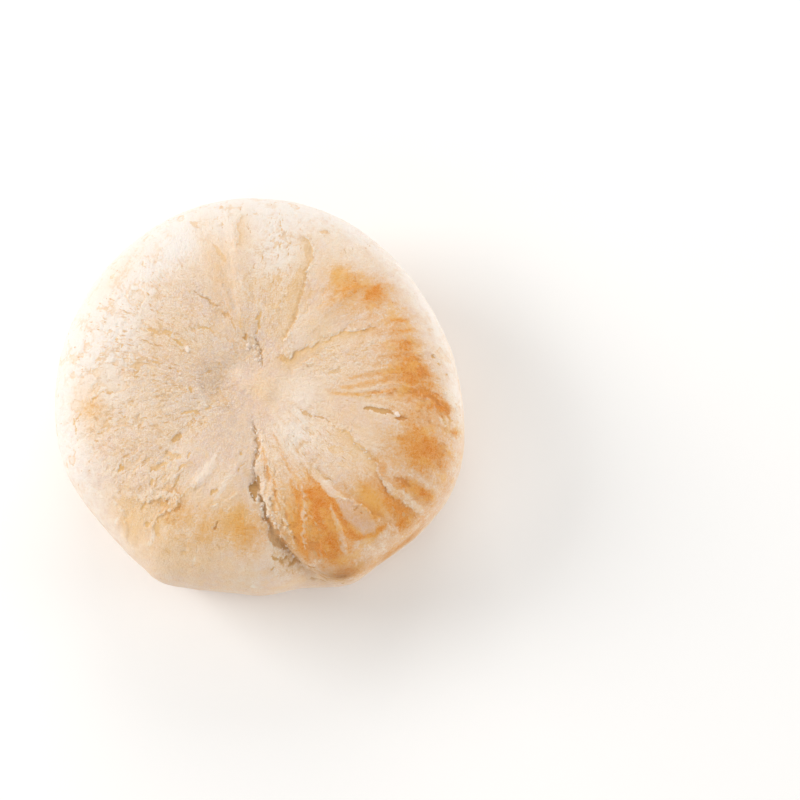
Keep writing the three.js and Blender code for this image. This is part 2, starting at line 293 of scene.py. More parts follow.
# Patches of baked skin with their amounts, first the broad stretches, then the stronger ones.
BAKED = [
    (0, 27, 6, 8, 0.3),
    (22, 26, 7, 8, 0.12),
    (45, 27, 6, 5, 0.28),
    (346, 32, 6, 8, 0.28),
    (330, 33, 7, 8, 0.25),
    (315, 34, 7, 7, 0.35),
    (300, 32, 10, 5, 0.5),
    (287, 32, 10, 4, 0.5),
    (270, 31, 6, 4, 0.25),
    (250, 31, 6, 9, 0.25),
    (226, 34, 9, 5, 0.08),
    (300, 45, 4, 8, 0.3),
    (326, 42, 4, 9, 0.3),
    (108, 18, 9, 2.5, 0.2),
    (188, 33, 4, 8, 0.1),
    (298.5, 28, 6, 2.6, 0.95),
    (294, 35, 5, 3.5, 0.8),
    (287, 33, 6, 1.6, 0.6),
    (319, 36.5, 3, 2.2, 0.7),
    (317.5, 40, 2, 2, 0.8),
    (317, 29.5, 2.5, 2.2, 0.45),
    (313.5, 33.5, 3.5, 1.6, 0.45),
    (338, 33.5, 5, 3.2, 0.75),
    (342, 38, 4, 5, 0.25),
    (340, 45, 3, 8, 0.15),
    # This patch low on a lobe's underside is partly painted shade, coloured as baked crust.
    (314, 47.5, 3, 9, 0.6),
    (297, 42.5, 2.5, 4, 0.5),
    (46, 25, 4, 4, 0.3),
    (354, 35, 3, 2.4, 0.6),
    (4.5, 31, 3.5, 4.0, 0.92),
    (359, 33.5, 3, 2, 0.5),
    (13, 31, 3, 3, 0.5),
    (21, 32, 3.5, 5, 0.32),
    (39, 30, 3, 2, 0.55),
    (36, 31, 5, 5, 0.35),
    (53.5, 27.5, 2.5, 2.4, 0.5),
    (96, 30, 4, 1.3, 0.12),
    (267, 30, 3.5, 3.5, 0.45),
    (258, 29.5, 3, 6, 0.15),
    (228, 38, 3, 4, 0.08),
    (237, 29, 3, 4, 0.25),
    (190.5, 31, 3, 4, 0.15),
]

# Where baking is stronger along a fold or an edge: the line as (angle, s), half-width, amount.
LINE_ENDS = (4.0, 2.0)
BAKED_LINES = [
    ([(304, 23), (303, 29), (302.5, 33), (303, 36), (309, 38), (314.5, 37.5)], 0.6, 0.8),
    ([(280, 14), (280, 20), (281.5, 24), (284, 28), (286, 33)], 0.5, 0.5),
    ([(290, 9), (291, 15), (291.5, 19.5), (291, 25)], 0.45, 0.28),
    ([(278.5, 12), (277.5, 17.5), (278, 22)], 0.3, 0.4),
    ([(294, 21), (291.5, 25.5), (289, 30.5), (287, 38)], 0.8, 0.6),
    ([(325.5, 31), (326, 34.5), (327, 38), (328.5, 42)], 1.1, 0.75),
    ([(350, 13), (352, 19), (354, 23), (356.5, 27), (357.5, 33)], 0.5, 0.5),
    ([(353, 12), (356.5, 18), (359.5, 23), (1, 27), (2, 33)], 0.6, 0.4),
    ([(0, 15), (3, 20), (4, 27), (4, 31)], 0.5, 0.35),
    ([(27, 28), (23.5, 35)], 0.5, 0.7),
    ([(21.5, 29), (19.5, 35)], 0.5, 0.7),
    ([(17, 28), (15, 33)], 0.4, 0.6),
    ([(38, 27), (39, 30.5), (40, 33)], 1.0, 0.8),
    ([(50, 29), (45, 28.5), (42, 30)], 0.8, 0.5),
    ([(357, 32), (354.5, 35), (352.5, 39)], 1.1, 0.8),
    ([(347, 38), (348.5, 42)], 0.7, 0.8),
    ([(330, 26), (323, 31), (321.5, 36), (319.5, 41)], 0.9, 0.4),
]

# Sheets with sharp outlines over the skin: the sheet's line as (angle, s), its half-width, how unbaked it is,
# and its tint, from -1 for white to 1 for pink.
SHEETS = [
    ([(305, 28), (307.5, 33), (309, 38)], 2.2, 0.3, 0.5),
    ([(302, 27), (300, 32), (298.5, 36), (299, 39)], 0.5, 0.35, 0.2),
    ([(295, 22), (291, 28.5), (288, 33), (287, 38)], 0.35, 0.6, 0.3),
    ([(282, 14), (287.5, 18), (291, 20), (292, 24)], 0.4, 0.5, 0.0),
    ([(281, 17), (280.5, 22.5), (283, 26), (283, 30.5), (285, 37)], 0.35, 0.6, 0.0),
    ([(304, 17), (303.5, 21), (305, 26), (308.5, 29)], 0.9, 0.7, 0.0),
    ([(322, 30), (322.5, 36), (323.5, 43)], 0.8, 0.6, 0.0),
    ([(359, 37), (356, 44)], 2.0, 0.8, 0.0),
    ([(11, 33), (9, 38)], 1.0, 0.5, 0.3),
    ([(244.5, 15.5), (245, 19), (242, 22), (240, 25.5)], 0.9, 0.9, -0.5),
    ([(239, 26), (233, 28), (226, 32), (219, 34)], 0.8, 0.6, -0.4),
    ([(236, 34), (237.5, 38)], 0.6, 0.6, -0.6),
    ([(259, 19), (255, 22), (253, 26)], 0.5, 0.4, -0.6),
]

# Patches where the skin is golden without being baked.
GOLDEN_PATCHES = [
    (189, 32, 4, 6, 0.6),
    (154, 19, 6, 3.5, 0.5),
    (207, 22, 6, 4, 0.2),
    (96, 31, 6, 3, 0.4),
    (108, 27, 9, 3, 0.5),
    (226, 36, 5, 5, 0.3),
    (241, 29, 5, 5, 0.3),
    (233, 34, 4, 5, 0.35),
    (262, 26, 6, 4, 0.5),
    (338, 15, 7, 5, 0.3),
    (2, 19, 8, 6, 0.15),
    (338, 22, 8, 7, 0.25),
    (76, 22, 10, 4, 0.1),
    (40, 18, 8, 4, 0.4),
    (284, 28, 10, 2.5, 0.5),
    (314, 32, 4, 2.4, 0.8),
    (283, 47, 4, 14, 0.5),
    (318, 2.5, 3.2, 2.8, 0.75),
    (262, 29, 4, 8, 0.35),
    (54, 27.5, 3, 3, 0.7),
    (228, 38, 4, 6, 0.4),
    (140, 36, 4, 8, 0.25),
    (250, 38, 7, 12, 0.75),
]

# Patches where the skin is palest, partly paler skin and partly painted highlight where light falls most, as
# on the left of the shoulder.
PALE_AND_LIT = [
    (150, 40, 12, 30, 0.95),
    (105, 42, 14, 16, 0.95),
    (128, 32, 6, 12, 0.5),
    (195, 42, 11, 16, 0.7),
    (70, 42, 9, 22, 0.8),
    (25, 42, 7, 20, 0.75),
    (357, 42, 5, 8, 0.55),
    (225, 43, 8, 12, 0.5),
    (158, 3.5, 4, 3, 0.3),
    (350, 10, 7, 8, 0.55),
    (310, 14, 6, 6, 0.62),
    (178, 29, 7, 9, 0.52),
    (154, 27, 7, 7, 0.48),
    (80, 26, 9, 6, 0.6),
]

# Patches of painted shade under a lobe, with some brown crust of its own.
BROWN_AND_SHADE_UNDER = [
    (296, 43.5, 3, 4, 0.95),
    (313, 48, 2.5, 7, 0.3),
]

# Patches where the skin is dull, partly duller skin and partly painted shade, as on the left side of the
# hollow.
DULL_AND_SHADED = [
    (185, 8.5, 4, 5, 0.9),
    (190, 17, 8, 7, 0.45),
    (165, 19, 8, 6, 0.3),
    (112, 12, 6, 5, 0.3),
    (262, 9, 5, 4, 0.25),
    (227, 9, 4, 3, 0.4),
    (245, 12, 5, 4, 0.8),
]

# Flakes that have come loose and cling to the crust: the line they lie along as (angle, s), how far from it
# they stray, how many, and their usual length.
FLAKES = [
    ([(98, 8), (89, 6.5), (80, 5), (69, 4)], 0.4, 12, 0.45),
    ([(103, 8), (97, 6.5)], 0.3, 4, 0.7),
    ([(153.5, 14.5), (154.5, 14.5)], 0.1, 2, 0.9),
    ([(173.5, 14.5), (174.5, 14.5)], 0.1, 1, 0.9),
    ([(99.5, 20.5), (100.5, 20.5)], 0.1, 1, 0.7),
    ([(266, 7), (272, 9), (274.5, 12), (271, 18), (270, 21)], 0.4, 8, 0.4),
    ([(274, 24), (278, 32), (284, 39)], 0.9, 12, 0.5),
    ([(327, 9), (332, 15.5), (330, 20), (326, 26)], 0.3, 8, 0.4),
    ([(209, 5), (217, 7), (190, 11), (178, 12)], 0.8, 9, 0.5),
    ([(346, 27.4), (347, 27.3)], 0.05, 1, 0.8),
]
FLAKE_SIDES = 9
FLAKE_THICKNESS = 0.1
# Least and most of what is drawn for each flake: its size in usual lengths, how far out a corner is, how much
# longer than wide it is, its curl, and its lean in degrees.
FLAKE_SIZE = (0.6, 1.5)
FLAKE_CORNER = (0.5, 1.2)
FLAKE_STRETCH = (1.0, 1.5)
FLAKE_CURL = (0.0, 0.5)
FLAKE_LEAN = (2, 14)

# -------------------- the finer relief and what it colours

# Heights.
UNEVENNESS = 0.25
LUMP = 0.09
WRINKLE = 0.07
FINE_WRINKLE = 0.025
SKIN_GRAIN = 0.012
BARE_GRAIN = 0.05
HOLLOW_GRAIN = 0.08
FLECK_RIM = 0.06
SHEET_EDGE = 0.06
LEVEL_LINE = 0.16

# Ranges of s over which one look of the crust gives way to the next.
HOLLOW_RIM = (6, 14)
SHOULDER = (44, 52)
SHOULDER_LOSS = 0.65  # the share of the face's relief that is lost over the shoulder
SIDE_START = 50

LINED_LEVELS = (13, 2)  # level lines begin below the first level and are full at the second
LINE_TOAST = 0.3  # how toasted they are
TOAST_LEVELS = (0.2, 3.2)  # between these the toasted line round the base fades

# Layers: the noise that spreads them, how many there are to a wave of it, and the height of a layer's step.
LAYERS = [
    ("fan", 2.2, 0.08),
    ("broad", 2.6, 0.08),
    ("small", 1.7, 0.05),
]
STEP_SHARE = 0.06  # the share of a layer's width that its step takes

# Flecks that have come off: noise cells round the cake, their length outwards, mm of depth to a unit of
# noise, their part of the flaky share, and the drop.
FLECKS = [
    (17, 4.5, 0.7, 0.35, 0.1),
    (30, 3.0, 0.45, 0.5, 0.07),
    (52, 1.8, 0.3, 1.2, 0.05),
]
PLATE_DROP = 0.1

# A lip is a corner that stands above the mean of those around it and gets a painted highlight, partly the
# pale edge of torn skin; a cavity is one that lies below it and gets painted shade, partly oil gathered
# there: from where each begins to show to where it is full.
PROUD = (0.04, 0.16)
SUNK = (0.1, 0.45)
MEAN_ROUNDS = 8  # how far around the mean reaches
FACE_LEVEL = 22.0  # lips and cavities show above this level only

# -------------------- mesh spacing

# How far apart the corners are, out to each s of the face, then on the side and the base.
FACE_STEPS = [(36, 0.25), (42, 0.35), (50, 0.5)]
SIDE_STEP = 0.65
BASE_STEP = 1.5
BASE_FADE = 5.0
MERIDIAN_STEPS = 2000
FEWEST_CORNERS = 7


# -------------------- noise


class Noise:
    """Seeded noise over arrays of 3-D points.

    At points / 4 its lumps are about 4 mm wide. A number added to the points only takes another piece of it.
    """

    CELLS = 256
    GAIN = 1.6  # brings gradient noise to about -1 to 1
    OCTAVE_SHIFT = 17.3

    def __init__(self, seed):
        draw = np.random.default_rng(seed)
        self.order = np.tile(draw.permutation(self.CELLS), 2)
        slopes = draw.normal(size=(self.CELLS, 3))
        self.slopes = slopes / np.linalg.norm(slopes, axis=1, keepdims=True)
        self.dots = draw.random((self.CELLS, 3))

    def cell(self, whole):
        i, j, k = (whole % self.CELLS).T
        return self.order[self.order[self.order[i] + j] + k]

    def smooth(self, p):
        """Gradient noise, about -1 to 1."""
        whole = np.floor(p).astype(int)
        part = p - whole
        ease = part**3 * (part * (part * 6 - 15) + 10)
        total = np.zeros(len(p))
        for corner in itertools.product((0, 1), repeat=3):
            weight = np.prod(np.where(corner, ease, 1 - ease), axis=1)
            slope = self.slopes[self.cell(whole + corner)]
            total += weight * np.sum(slope * (part - corner), axis=1)
        return total * self.GAIN

    def rough(self, p, octaves):
        """Gradient noise with finer and weaker noise on top of it."""
        return sum(self.smooth(p * 2**i + self.OCTAVE_SHIFT * i) / 2**i for i in range(octaves))

    def shards(self, p):
        """A random vector, -1 to 1, that is the same all over each angular cell of space."""
        whole = np.floor(p).astype(int)
        nearest = np.full(len(p), np.inf)
        owner = np.zeros(len(p), int)
        for corner in itertools.product((-1, 0, 1), repeat=3):
            cell = self.cell(whole + corner)
            distance = np.sum((whole + corner + self.dots[cell] - p) ** 2, axis=1)
            owner = np.where(distance < nearest, cell, owner)
            nearest = np.minimum(distance, nearest)
        return self.dots[self.order[owner]] * 2 - 1


def smoothstep(x, low, high):
    t = np.clip((x - low) / (high - low), 0, 1)
    return t * t * (3 - 2 * t)


def bell(x, half):
    return np.exp(-((x / half) ** 2))


def turn(a, b):
    """Angle a seen from angle b, from -180 to 180."""
    return (a - b + 180) % 360 - 180


# -------------------- the plain turned body


def meridian():
    """Radius, level and s along the meridian, from the middle of the upper face to the middle of the base."""
    t = np.linspace(0, math.pi / 2, MERIDIAN_STEPS)
    r = RADIUS * np.sin(t) ** (2 / SHOULDER_POWER)
    crown = (HEIGHT - WIDEST_LEVEL) * np.cos(t) ** (2 / SHOULDER_POWER)
    hollow = HOLLOW["depth"] * np.exp(-((r / HOLLOW["radius"]) ** HOLLOW["power"]))
    out = (RADIUS - BASE_RADIUS) * np.cos(t[1:]) ** (2 / SKIRT_POWER)
    drop = WIDEST_LEVEL * np.sin(t[1:]) ** (2 / SKIRT_POWER)
    radius = np.concatenate([r, BASE_RADIUS + out, [0]])
    level = np.concatenate([WIDEST_LEVEL + crown - hollow, WIDEST_LEVEL - drop, [0]])
    s = np.concatenate([[0], np.cumsum(np.hypot(np.diff(radius), np.diff(level)))])
    return radius, level, s


MERIDIAN_R, MERIDIAN_Z, MERIDIAN_S = meridian()
BASE_EDGE = MERIDIAN_S[-2]
BASE_MIDDLE = MERIDIAN_S[-1]


def flat_place(deg, s):
    """Place on the crust unrolled into a plane round the middle of the face."""
    a = np.radians(deg)
    return np.stack([s * np.cos(a), s * np.sin(a)], axis=-1)


class Spots:
    """Places on the plain body: angle and s, with what follows from them."""

    LEAST_TURNED = 3.0  # places nearer the axis than this turn no further than those at this distance

    def __init__(self, deg, s):
        self.deg = deg
        self.s = s
        self.r = np.interp(s, MERIDIAN_S, MERIDIAN_R)
        self.z = np.interp(s, MERIDIAN_S, MERIDIAN_Z)
        self.turn = np.radians(deg)
        self.points = np.column_stack([self.r * np.cos(self.turn), self.r * np.sin(self.turn), self.z])
        self.flat = flat_place(deg, s)

    def fan(self, around, length):
        """Noise points whose cells widen outwards like the pleats: 2 pi times around of them in a circle."""
        return np.column_stack([around * np.cos(self.turn), around * np.sin(self.turn), self.s / length])

    def moved(self, aside, along):
        """The places so many mm further round and further out."""
        turned = aside / np.maximum(self.r, self.LEAST_TURNED)
        return Spots(self.deg + np.degrees(turned), self.s + along)

    def line(self, path):
        """Distance in mm from a line of (angle, s), negative on its right; distance along it; its length."""
        ends = flat_place(*np.array(path, float).T)
        nearest = np.full(len(self.s), np.inf)
        off = np.zeros(len(self.s))
        along = np.zeros(len(self.s))
        run = 0.0
        for start, end in zip(ends[:-1], ends[1:]):
            length = float(np.hypot(*(end - start)))
            ahead = (end - start) / length
            seen = self.flat - start
            step = np.clip(seen @ ahead, 0, length)
            gap = np.linalg.norm(seen - step[:, None] * ahead, axis=1)
            side = np.where(ahead[0] * seen[:, 1] - ahead[1] * seen[:, 0] < 0, -1, 1)
            closer = gap < nearest
            nearest = np.where(closer, gap, nearest)
            off = np.where(closer, side * gap, off)
            along = np.where(closer, run + step, along)
            run += length
        return off, along, run

    def beside(self, path, ends):
        """Distance from a line, negative on its right, and a factor, 0 at the line's ends and 1 between."""
        off, along, length = self.line(path)
        start, end = ends
        return off, smoothstep(along, 0, start) * (1 - smoothstep(along, length - end, length))

    def into_window(self, path, half):
        """Depth in mm inside a window that narrows to the ends of its line, negative outside."""
        off, along, length = self.line(path)
        return half * (1 - np.abs(2 * along / length - 1) ** 3) - np.abs(off)

    def patch(self, deg, s, along, across):
        """1 in the middle of an oval patch, falling off outwards and round the cake."""
        aside = np.radians(turn(self.deg, deg)) * self.r
        return bell(np.hypot((self.s - s) / along, aside / across), 1)

    def left_by(self, patches):
        """The share that patches with amounts together leave."""
        return math.prod(1 - amount * self.patch(*patch) for *patch, amount in patches)


def rim_radius(deg):
    return RADIUS + sum(out * bell(turn(deg, centre), half) for centre, half, out in RIM)


# -------------------- relief and colour fields

broad = Noise(1)
grain = Noise(2)
fans = Noise(3)
torn = Noise(4)
cracks = Noise(5)
tints = Noise(6)


def ragged(at):
    """The same places shifted by brittle and by soft noise, so that outlines drawn at them come out torn."""
    kick = torn.shards(at.points / 1.3)
    fine = torn.shards(at.points / 0.55 + 40)
    wave = [torn.rough(at.points / 2.6 + shift, 3) for shift in (0, 31)]
    aside = 0.28 * kick[:, 0] + 0.13 * fine[:, 0] + 0.4 * wave[0]
    along = 0.34 * kick[:, 1] + 0.16 * fine[:, 1] + 0.45 * wave[1]
    return at.moved(aside, along)


def pleat_relief(at):
    height = np.zeros(len(at.s))
    for path, depth, half, sag, spread in PLEATS:
        off, here = at.beside(path, PLEAT_ENDS)
        height -= (depth * bell(off, half) + sag * bell(off, spread)) * here
    return height


def flecks(noise, places, share, scale):
    """mm inside small openings where noise is high, so that they take up a given share of the crust."""
    value = noise.rough(places, 3)
    return (value - np.quantile(value, 1 - share)) * scale


class Relief(Spots):
    """Places with the height of the crust over the plain body, and with what colours it.

    Each method lays one kind of detail over what the methods before it have left.
    """

    def __init__(self, deg, s):
        super().__init__(deg, s)
        blank = np.zeros(len(s))
        p = self.points
        self.edge = ragged(self)
        self.waved = self.moved(0.4 * fans.smooth(p / 4), 0)
        self.soft = self.moved(0.5 * tints.rough(p / 4, 2), 0.6 * tints.rough(p / 4 + 20, 2))
        self.face = 1 - SHOULDER_LOSS * smoothstep(s, *SHOULDER)
        self.fanned = smoothstep(s, *HOLLOW_RIM)
        most = np.max([amount * self.patch(*patch) for *patch, amount in FLAKY], axis=0)
        self.share = most + FLAKY_ELSEWHERE * (s < FLAKY_END)
        self.flaky = smoothstep(self.share, 0.0, 0.12)
        self.opened = self.under = blank - 1  # mm into the nearest opening and torn edge, negative outside
        # The gold of openings and of the feet of torn edges is partly painted shade along their edges.
        self.tone = self.gold_and_shade_under = blank  # how golden they are
        self.deep = blank  # depth of a window or crack
        self.drop = self.lip = blank
        self.crumbs = self.bare = blank

        self.shape_body()
        self.tear_edges()
        self.lay_layers()
        self.open_plates_and_flecks()
        self.cut_windows_and_cracks()
        self.wrinkle()
        self.line_side()
        self.bake()

    def shape_body(self):
        """The button, the pleats, the lobes and a slow unevenness."""
        p = self.points
        button = Spots(np.array([BUTTON["deg"]]), np.array([BUTTON["s"]])).points[0]
        from_button = np.hypot(p[:, 0] - button[0], p[:, 1] - button[1])
        self.height = BUTTON["height"] * bell(from_button, BUTTON["radius"]) + pleat_relief(self)
        for *patch, tall in LOBES:
            self.height += tall * self.patch(*patch)
        self.height += UNEVENNESS * broad.smooth(p / 14) + LUMP * broad.rough(p / 4.5, 2)

    def tear_edges(self):
        """The drop and the curl along each torn edge, and the gold at the drop's foot, which is partly
        painted shade.
        """
        curl = smoothstep(torn.smooth(self.points / 1.8 + 60), -0.2, 0.3)
        for path, side, depth, reach, gold, gold_reach in TORN_EDGES:
            off, here = self.edge.beside(path, EDGE_ENDS)
            into = side * off
            left = here * np.exp(-np.maximum(into, 0) / reach)
            step = smoothstep(into, -EDGE, EDGE)
            self.drop = np.maximum(self.drop, depth * left * step)
            self.bare = np.maximum(self.bare, left * step)
            lip = LIP * here * curl * bell(into + LIP_HALF, LIP_HALF) * (into < 0)
            self.lip = np.maximum(self.lip, lip)
            self.crumbs = np.maximum(self.crumbs, here * bell(into + 0.3, 0.6))
            amount = gold * here * np.exp(-np.maximum(into, 0) / gold_reach)
            better = (into > -0.5) & (amount > self.gold_and_shade_under)
            self.under = np.where(better, into, self.under)
            self.gold_and_shade_under = np.where(better, amount, self.gold_and_shade_under)

    def lay_layers(self):
        """Thin overlapping layers, each a small step down and a slow rise, seen as ragged lines."""
        p = self.edge.points
        places = {"fan": self.edge.fan(3.2, 11) + 21, "broad": p / 8 + 33, "small": p / 3.5 + 57}
        self.layer_edge = np.zeros(len(self.s))
        for spread, layers, tall in LAYERS:
            level = layers * torn.rough(places[spread], 2)
            part = level - np.floor(level)
            rise = smoothstep(part, 0.0, STEP_SHARE) - part
            self.height += tall * rise * self.face * (0.3 + 0.7 * self.flaky)
            self.layer_edge = np.maximum(self.layer_edge, bell(np.minimum(part, 1 - part), 0.05))
        patchy = smoothstep(torn.smooth(self.points / 4 + 80), -0.2, 0.3)
        self.shown = patchy * self.face * (0.4 + 0.6 * self.flaky)

    def open_under(self, into, drop, edge, tone):
        """An opening that is seen wherever no deeper one is."""
        self.drop = np.maximum(self.drop, drop * smoothstep(into, -0.1, edge))
        self.tone = np.where(into > self.opened, tone, self.tone)
        self.opened = np.maximum(self.opened, into)

    def open_over(self, into, drop, edge, tone):
        """An opening that is seen all over, whatever else is open there."""
        here = into > np.minimum(self.opened, 0)
        self.drop = np.maximum(self.drop, drop * smoothstep(into, -edge, edge))
        self.tone = np.where(here, tone, self.tone)
        self.deep = np.where(here, drop, self.deep)
        self.opened = np.where(here, into, self.opened)

    def open_plates_and_flecks(self):
        """Broad plates where the uppermost layer is gone, and flecks gathered along the layers' edges."""
        share = np.minimum(1.3 * self.share, MOST_GONE)
        into = flecks(torn, self.edge.points / 6 + 70, share, 3.0)
        # The gold that deepens towards a plate's edge is partly painted shade of its step.
        self.open_under(into, PLATE_DROP, 0.1, 0.12 + 0.5 * bell(into, 0.25))

        fade = 0.45 + 0.5 * smoothstep(tints.smooth(self.points / 3 + 9), -0.4, 0.5)
        gathered = 0.2 + 1.4 * smoothstep(tints.smooth(self.points / 5 + 51), -0.15, 0.3)
        share = np.minimum(self.share * gathered * (0.6 + 2.2 * self.layer_edge), MOST_GONE)
        for shift, (around, length, scale, of_share, drop) in zip((0, 50, 90), FLECKS):
            into = flecks(fans, self.edge.fan(around, length) + shift, share * of_share, scale)
            self.open_under(into, drop, 0.14, fade * (0.5 + drop * 2) * (0.55 + 0.45 * self.flaky))

    def cut_windows_and_cracks(self):
        """Windows and cracks, then the crumbs that cling to edges and the raised rims of openings."""
        for path, half, depth, gold in WINDOWS:
            self.open_over(self.edge.into_window(path, half), depth, EDGE, gold)
        wander = 0.18 * cracks.smooth(self.points / 1.2)
        for path, half, depth in CRACKS:
            into = self.edge.into_window(path, half) + wander
            self.crumbs = np.maximum(self.crumbs, 3 * depth * bell(into + 0.35, 0.4) * (into < 0))
            self.open_over(into, depth, 0.2, CRACK_GOLD)
        self.height -= self.drop
        clinging = smoothstep(grain.smooth(self.points / 0.5 + 70), 0.15, 0.6)
        rims = FLECK_RIM * bell(self.opened + 0.25, 0.25) * (self.opened < 0) * self.face * self.flaky
        self.height += self.lip + CRUMB * self.crumbs * clinging + rims

    def wrinkle(self):
        """Wrinkles that fan out from the hollow, folds, and the grain of skin and of bare crust."""
        p = self.points
        waves = fans.rough(self.fan(13, 9) + 5, 3)
        self.height += WRINKLE * waves * self.fanned * (0.35 + 0.65 * self.face)
        self.height += FINE_WRINKLE * fans.rough(self.fan(34, 5) + 9, 2) * self.fanned * self.face
        for path, half, tall in RIDGES:
            off, here = self.waved.beside(path, FOLD_ENDS)
            self.height += tall * here * bell(off, half)
        self.height += (SKIN_GRAIN + BARE_GRAIN * self.bare) * grain.rough(p / 0.8, 2)
        self.height += HOLLOW_GRAIN * (1 - self.fanned) * grain.rough(p / 1.1 + 11, 3)

    def line_side(self):
        """Level lines low on the side, and the toasted line round the base."""
        side = self.s > SIDE_START
        low = smoothstep(-self.z, -LINED_LEVELS[0], -LINED_LEVELS[1]) * side
        rings = np.column_stack([7 * np.cos(self.turn), 7 * np.sin(self.turn), self.z / 1.7])
        lines = cracks.rough(rings, 2)
        self.height += LEVEL_LINE * low * lines
        start, end = TOAST_LEVELS
        toast = (1 - smoothstep(self.z, start, end + 1.2 * tints.smooth(self.points / 6))) * side
        self.toast = np.maximum(toast, LINE_TOAST * low * smoothstep(-lines, 0.05, 0.6))

    def bake(self):
        """How far the skin is baked, and the sheets that lie over it."""
        unbaked = self.soft.left_by(BAKED)
        for path, half, amount in BAKED_LINES:
            off, here = self.waved.beside(path, LINE_ENDS)
            unbaked *= 1 - amount * bell(off, half) * here
        self.tint = np.zeros(len(self.s))
        for path, half, amount, colour in SHEETS:
            covered = smoothstep(self.edge.into_window(path, half), -0.1, 0.15)
            unbaked += amount * (1 - unbaked) * covered
            self.tint += (colour - self.tint) * covered
            self.height += SHEET_EDGE * covered
        self.baked = np.clip(1 - unbaked, 0, 1)

    def fields(self):
        """Everything that the material reads, but for lips and cavities, whose painted highlight and shade
        come later.
        """
        as_they_are = ("tone", "gold_and_shade_under", "bare", "flaky", "baked", "tint", "fanned", "toast")
        patches = {"golden": GOLDEN_PATCHES, "pale_and_lit": PALE_AND_LIT, "dull_and_shaded": DULL_AND_SHADED, "brown_and_shade": BROWN_AND_SHADE_UNDER}
        return {
            **{name: getattr(self, name) for name in as_they_are},
            **{name: 1 - self.soft.left_by(rows) for name, rows in patches.items()},
            "opened": np.clip(self.opened, -1, 1),
            "under": np.clip(self.under, -1, 1),
            "deep": np.maximum(smoothstep(self.deep, 0.12, 0.3), 0.7 * self.layer_edge * self.shown),
            "layer_edge": self.layer_edge * self.shown,
            "fan": self.fan(FAN_RADIUS, FAN_STRETCH) * MM,
        }


# -------------------- meshes


def ring_stops():
    """s of every ring from the middle of the upper face to the middle of the base, with its spacing."""
    start = 0
    stops = [(start, FACE_STEPS[0][1])]
    for end, step in (*FACE_STEPS, (BASE_EDGE, SIDE_STEP), (BASE_MIDDLE, BASE_STEP)):
        count = max(1, round((end - start) / step))
        stops += [(start + (end - start) * i / count, step) for i in range(1, count + 1)]
        start = end
    return stops


def stitch(rings, first):
    """Triangles between two rings of shares of a turn, numbered on from first: always to the next corner."""
    starts = (first, first + len(rings[0]))
    steps = [(share, side) for side in (0, 1) for share in (*rings[side][1:], 1 + rings[side][0])]
    taken = [0, 0]
    corners = list(starts)
    for _, side in sorted(step for step in steps if len(rings[step[1]]) > 1):
        taken[side] += 1
        following = starts[side] + taken[side] % len(rings[side])
        yield (*corners, following)
        corners[side] = following


def crust_mesh():
    """Relief, corners in mm and triangles of the whole crust."""
    shares, levels, faces, start = [], [], [], 0
    previous = None
    for number, (s, step) in enumerate(ring_stops()):
        r = float(np.interp(s, MERIDIAN_S, MERIDIAN_R))
        count = 1 if r < 1e-6 else max(FEWEST_CORNERS, round(2 * math.pi * r / step))
        ring = (np.arange(count) + (number % 2) / 2) / count
        shares.append(ring)
        levels.append(np.full(count, s))
        if previous is not None:
            faces += stitch((previous, ring), start)
            start += len(previous)
        previous = ring
    at = Relief(np.concatenate(shares) * 360, np.concatenate(levels))
    height = at.height * smoothstep(at.z, 0, BASE_FADE)

    slope_r = np.gradient(MERIDIAN_R, MERIDIAN_S)
    slope_z = np.gradient(MERIDIAN_Z, MERIDIAN_S)
    normal_r = -np.interp(at.s, MERIDIAN_S, slope_z)
    normal_z = np.interp(at.s, MERIDIAN_S, slope_r)
    out = at.r * rim_radius(at.deg) / RADIUS + height * normal_r
    corners = np.column_stack([out * np.cos(at.turn), out * np.sin(at.turn), at.z + height * normal_z])
    corners[:, :2] -= (corners[:, :2].min(axis=0) + corners[:, :2].max(axis=0)) / 2
    return at, corners, np.array(faces)


def add_mesh(name, corners, faces, fields, material):
    mesh = bpy.data.meshes.new(name)
    mesh.from_pydata((corners * MM).tolist(), [], faces.tolist())
    for field, values in fields.items():
        kind, part = ("FLOAT", "value") if values.ndim == 1 else ("FLOAT_VECTOR", "vector")
        mesh.attributes.new(field, kind, "POINT").data.foreach_set(part, values.astype(np.float32).ravel())
    mesh.polygons.foreach_set("use_smooth", np.ones(len(mesh.polygons), bool))
    mesh.materials.append(material)
    mesh.update()
    obj = bpy.data.objects.new(name, mesh)
    bpy.context.scene.collection.objects.link(obj)
    return obj


def neighbour_mean(values, faces, rounds):
    """Values averaged with those of the corners around them, so many times."""
    a = np.concatenate([faces[:, 0], faces[:, 1], faces[:, 2]])
    b = np.concatenate([faces[:, 1], faces[:, 2], faces[:, 0]])
    count = np.bincount(a, minlength=len(values))
    for _ in range(rounds):
        values = 0.5 * values + 0.5 * np.bincount(a, weights=values[b], minlength=len(values)) / count
    return values


def flake(draw, size):
    """Corners and triangles of one thin curled flake, face up, round its own middle."""
    turns = np.arange(FLAKE_SIDES) / FLAKE_SIDES * 2 * math.pi
    reach = np.append(size / 2 * draw.uniform(*FLAKE_CORNER, FLAKE_SIDES), 0)
    turns = np.append(turns, 0)
    x = reach * np.cos(turns) * draw.uniform(*FLAKE_STRETCH)
    y = reach * np.sin(turns)
    z = draw.uniform(*FLAKE_CURL) / size * x**2
    upper = np.column_stack([x, y, z + FLAKE_THICKNESS / 2])
    lower = np.column_stack([x, y, z - FLAKE_THICKNESS / 2])
    below = FLAKE_SIDES + 1
    faces = []
    for i in range(FLAKE_SIDES):
        j = (i + 1) % FLAKE_SIDES
        faces.append((FLAKE_SIDES, i, j))
        faces.append((below + FLAKE_SIDES, below + j, below + i))
        faces.append((i, below + i, below + j))
        faces.append((i, below + j, j))
    return np.concatenate([upper, lower]), np.array(faces)


